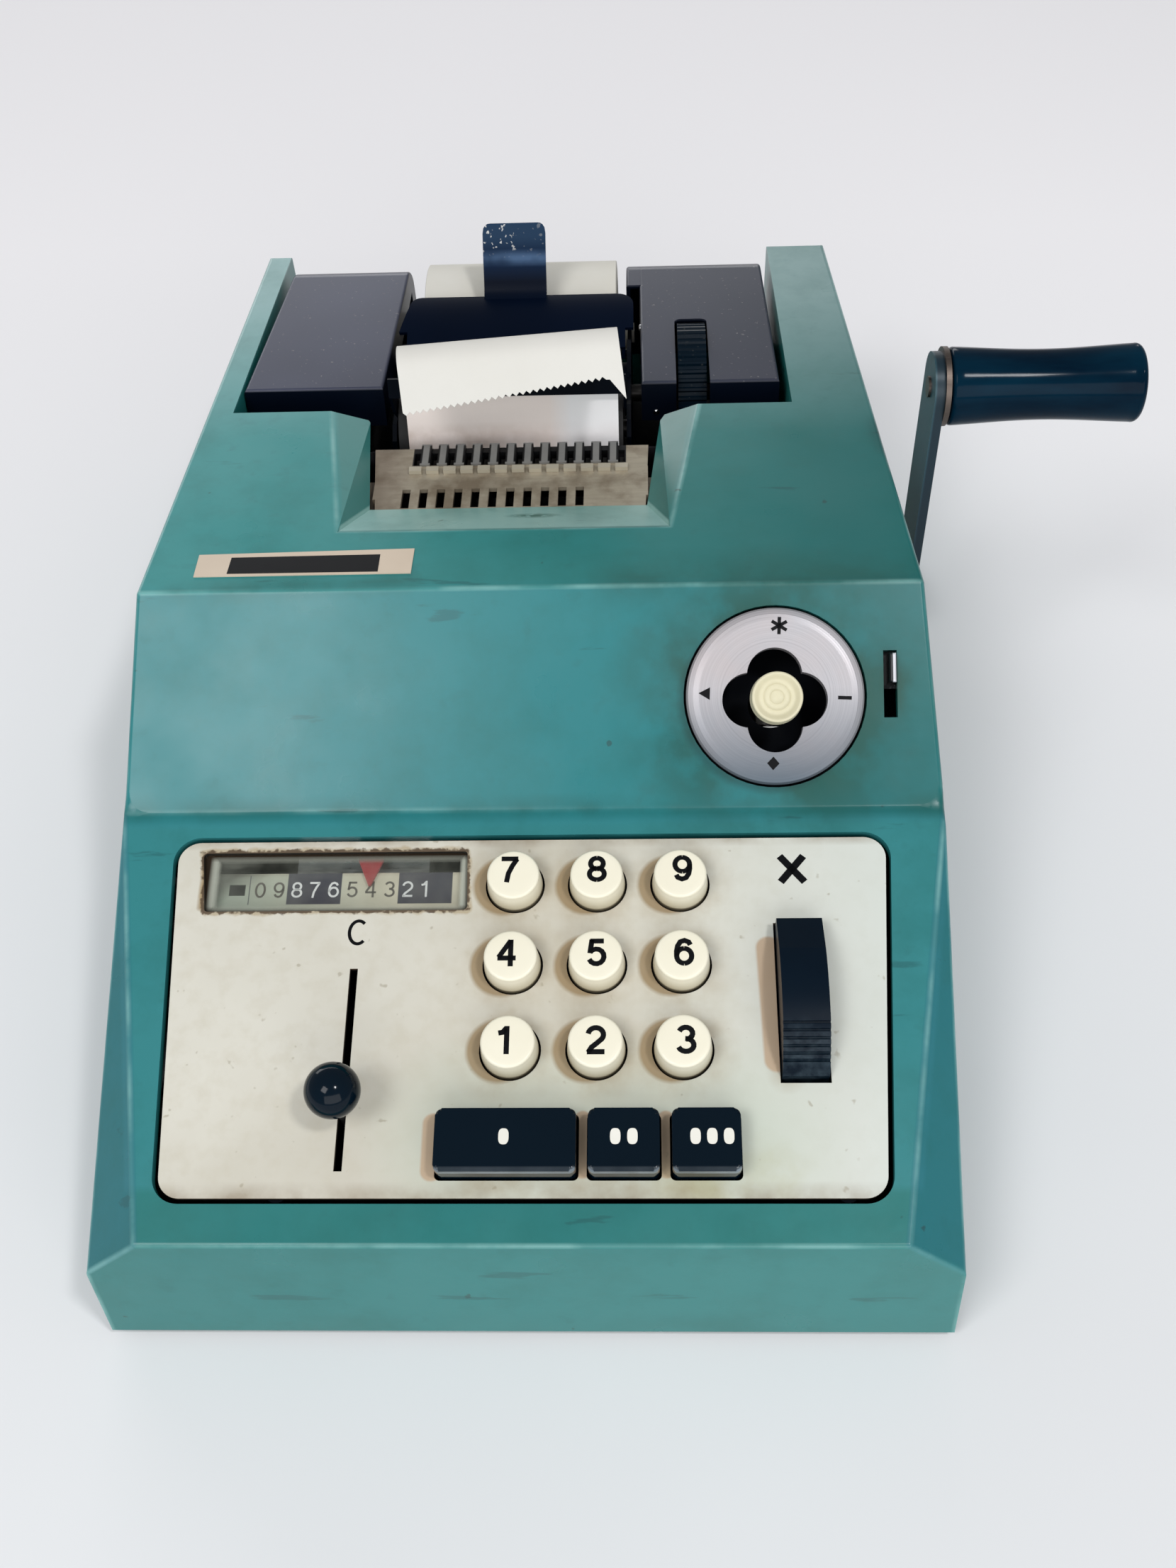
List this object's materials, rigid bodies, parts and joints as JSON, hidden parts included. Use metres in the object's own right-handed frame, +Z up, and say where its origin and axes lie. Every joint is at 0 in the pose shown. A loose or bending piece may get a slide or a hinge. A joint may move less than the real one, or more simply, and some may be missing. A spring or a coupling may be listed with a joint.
{
  "type": "adding machine",
  "caption": "Hand-cranked printing adding machine: faceted metal case, ten-key keyboard, paper tape at the rear and a crank at the right.",
  "frame": {"origin": "on the table, under the middle of the whole machine including the crank grip", "axes": "+X to the operator's right, +Y from the keyboard to the rear, +Z up"},
  "size_m": [0.2494, 0.314, 0.1236],
  "materials": {
    "body_paint": "semi-gloss teal enamel, worn",
    "panel_paint": "satin cream enamel, grimy",
    "cover_paint": "satin black enamel",
    "ivory_plastic": "satin ivory",
    "black_plastic": "glossy black",
    "red_plastic": "translucent red",
    "white_plastic": "satin white leaf with black digits",
    "clear_pane": "clear",
    "plated_steel": "zinc plated",
    "dark_steel": "blackened",
    "bright_chrome": "polished",
    "brushed_aluminium": "turned",
    "bronze": "dull",
    "black_rubber": "matt",
    "tape_paper": "matt",
    "inked_fabric": "matt"
  },
  "bodies": {
    "machine": {"casing": "body_paint", "base_plate": "cover_paint", "rubber_feet": "black_rubber", "base_screws": "plated_steel", "keyboard_panel": "panel_paint", "column_window": "clear_pane", "column_scale": "white_plastic", "key_guide_plate": "plated_steel", "carriage_rail": "plated_steel", "dial_ring": "brushed_aluminium", "dial_cup": "cover_paint", "left_side_frame": "plated_steel", "right_side_frame": "plated_steel", "frame_tie_rods": "plated_steel", "register_shaft": "plated_steel", "crank_bushing": "bronze", "left_cover": "cover_paint", "right_cover": "cover_paint", "type_guide_comb": "plated_steel", "tear_bar": "dark_steel", "paper_cradle": "dark_steel", "paper_spindle": "tape_paper", "paper_web": "tape_paper", "ribbon_shelves": "plated_steel", "ink_ribbon": "inked_fabric"},
    "crank": {"main_shaft": "plated_steel", "crank_arm": "body_paint", "crank_pin": "bronze"},
    "grip": {"crank_grip": "black_plastic"},
    "rocker": {"repeat_rocker": "black_plastic"},
    "clear": {"clear_lever": "plated_steel", "clear_lever_ball": "black_plastic"},
    "carriage": {"pin_carriage": "plated_steel", "column_pointer": "red_plastic"},
    "gimbal": {"gimbal_ring": "plated_steel"},
    "stick": {"function_stick": "plated_steel", "function_knob": "ivory_plastic"},
    "selector": {"selector_tab": "bright_chrome"},
    "type": {"type_bars": "dark_steel"},
    "feed": {"feed_shaft": "plated_steel", "thumbwheel": "black_plastic"},
    "platen": {"platen_shaft": "plated_steel", "platen_roller": "black_rubber"},
    "roll": {"paper_roll": "tape_paper"},
    "flap": {"paper_flap": "cover_paint"},
    "spool_left": {"ribbon_spool_left": "dark_steel"},
    "spool_right": {"ribbon_spool_right": "dark_steel"},
    "register": {"register_wheels": "bronze"},
    "key_1_body": {"key_1": "ivory_plastic"},
    "key_2_body": {"key_2": "ivory_plastic"},
    "key_3_body": {"key_3": "ivory_plastic"},
    "key_4_body": {"key_4": "ivory_plastic"},
    "key_5_body": {"key_5": "ivory_plastic"},
    "key_6_body": {"key_6": "ivory_plastic"},
    "key_7_body": {"key_7": "ivory_plastic"},
    "key_8_body": {"key_8": "ivory_plastic"},
    "key_9_body": {"key_9": "ivory_plastic"},
    "key_0_body": {"key_0": "black_plastic"},
    "key_00_body": {"key_00": "black_plastic"},
    "key_000_body": {"key_000": "black_plastic"}
  },
  "joints": [
    {"name": "crank_pull", "type": "hinge", "parent": "machine", "child": "crank", "pos_m": [0.0737, 0.035, 0.045], "axis": [1, 0, 0], "range_deg": [0, 85], "stiffness_Nm_per_rad": 0.15, "springref_deg": -28.65},
    {"name": "grip_spin", "type": "hinge", "parent": "crank", "child": "grip", "pos_m": [0.0779, 0.037, 0.114], "axis": [1, 0, 0], "continuous": true},
    {"name": "rocker_tilt", "type": "hinge", "parent": "machine", "child": "rocker", "pos_m": [0.0361, -0.09391, 0.04718], "axis": [1, 0, 0], "range_deg": [0, 7], "stiffness_Nm_per_rad": 0.4, "springref_deg": -1.72},
    {"name": "clear_slide", "type": "slide", "parent": "machine", "child": "clear", "axis": [0, 0.9762, 0.2169], "range_m": [-0.01, 0.024]},
    {"name": "carriage_step", "type": "slide", "parent": "machine", "child": "carriage", "axis": [1, 0, 0], "range_m": [-0.0261, 0.01305]},
    {"name": "stick_rock", "type": "hinge", "parent": "machine", "child": "gimbal", "pos_m": [0.0332, -0.02038, 0.05944], "axis": [1, 0, 0], "range_deg": [-10, 10], "stiffness_Nm_per_rad": 0.2},
    {"name": "stick_tilt", "type": "hinge", "parent": "gimbal", "child": "stick", "pos_m": [0.0332, -0.02038, 0.05944], "axis": [0, 0.7909, 0.612], "range_deg": [-10, 10], "stiffness_Nm_per_rad": 0.2},
    {"name": "selector_slide", "type": "slide", "parent": "machine", "child": "selector", "axis": [0, 0.7909, 0.612], "range_m": [-0.0075, 0]},
    {"name": "type_lift", "type": "slide", "parent": "machine", "child": "type", "axis": [0, 0, 1], "range_m": [0, 0.0061]},
    {"name": "feed_turn", "type": "hinge", "parent": "machine", "child": "feed", "pos_m": [-0.0248, 0.097, 0.0705], "axis": [1, 0, 0], "continuous": true},
    {"name": "platen_turn", "type": "hinge", "parent": "machine", "child": "platen", "pos_m": [-0.0248, 0.073, 0.076], "axis": [1, 0, 0], "continuous": true},
    {"name": "roll_turn", "type": "hinge", "parent": "machine", "child": "roll", "pos_m": [-0.0248, 0.135, 0.0655], "axis": [1, 0, 0], "continuous": true},
    {"name": "flap_lift", "type": "hinge", "parent": "machine", "child": "flap", "pos_m": [-0.0338, 0.1005, 0.082], "axis": [1, 0, 0], "range_deg": [0, 50]},
    {"name": "spool_left_turn", "type": "hinge", "parent": "machine", "child": "spool_left", "pos_m": [-0.0948, 0.034, 0.075], "axis": [0, 0, 1], "continuous": true},
    {"name": "spool_right_turn", "type": "hinge", "parent": "machine", "child": "spool_right", "pos_m": [0.0492, 0.034, 0.075], "axis": [0, 0, 1], "continuous": true},
    {"name": "register_turn", "type": "hinge", "parent": "machine", "child": "register", "pos_m": [-0.0248, 0.012, 0.058], "axis": [1, 0, 0], "continuous": true},
    {"name": "key_1_press", "type": "slide", "parent": "machine", "child": "key_1_body", "axis": [0, 0.2169, -0.9762], "range_m": [0, 0.004], "stiffness_N_per_m": 300, "springref_m": -0.0008},
    {"name": "key_2_press", "type": "slide", "parent": "machine", "child": "key_2_body", "axis": [0, 0.2169, -0.9762], "range_m": [0, 0.004], "stiffness_N_per_m": 300, "springref_m": -0.0008},
    {"name": "key_3_press", "type": "slide", "parent": "machine", "child": "key_3_body", "axis": [0, 0.2169, -0.9762], "range_m": [0, 0.004], "stiffness_N_per_m": 300, "springref_m": -0.0008},
    {"name": "key_4_press", "type": "slide", "parent": "machine", "child": "key_4_body", "axis": [0, 0.2169, -0.9762], "range_m": [0, 0.004], "stiffness_N_per_m": 300, "springref_m": -0.0008},
    {"name": "key_5_press", "type": "slide", "parent": "machine", "child": "key_5_body", "axis": [0, 0.2169, -0.9762], "range_m": [0, 0.004], "stiffness_N_per_m": 300, "springref_m": -0.0008},
    {"name": "key_6_press", "type": "slide", "parent": "machine", "child": "key_6_body", "axis": [0, 0.2169, -0.9762], "range_m": [0, 0.004], "stiffness_N_per_m": 300, "springref_m": -0.0008},
    {"name": "key_7_press", "type": "slide", "parent": "machine", "child": "key_7_body", "axis": [0, 0.2169, -0.9762], "range_m": [0, 0.004], "stiffness_N_per_m": 300, "springref_m": -0.0008},
    {"name": "key_8_press", "type": "slide", "parent": "machine", "child": "key_8_body", "axis": [0, 0.2169, -0.9762], "range_m": [0, 0.004], "stiffness_N_per_m": 300, "springref_m": -0.0008},
    {"name": "key_9_press", "type": "slide", "parent": "machine", "child": "key_9_body", "axis": [0, 0.2169, -0.9762], "range_m": [0, 0.004], "stiffness_N_per_m": 300, "springref_m": -0.0008},
    {"name": "key_0_press", "type": "slide", "parent": "machine", "child": "key_0_body", "axis": [0, 0.2169, -0.9762], "range_m": [0, 0.004], "stiffness_N_per_m": 300, "springref_m": -0.0008},
    {"name": "key_00_press", "type": "slide", "parent": "machine", "child": "key_00_body", "axis": [0, 0.2169, -0.9762], "range_m": [0, 0.004], "stiffness_N_per_m": 300, "springref_m": -0.0008},
    {"name": "key_000_press", "type": "slide", "parent": "machine", "child": "key_000_body", "axis": [0, 0.2169, -0.9762], "range_m": [0, 0.004], "stiffness_N_per_m": 300, "springref_m": -0.0008}
  ],
  "couplings": [
    {"joint": "type_lift", "follows": "crank_pull", "m_per_rad": 0.0040445},
    {"joint": "platen_turn", "follows": "feed_turn", "ratio": 0.58333},
    {"joint": "roll_turn", "follows": "feed_turn", "ratio": -0.32558},
    {"joint": "spool_right_turn", "follows": "spool_left_turn", "ratio": 1}
  ]
}
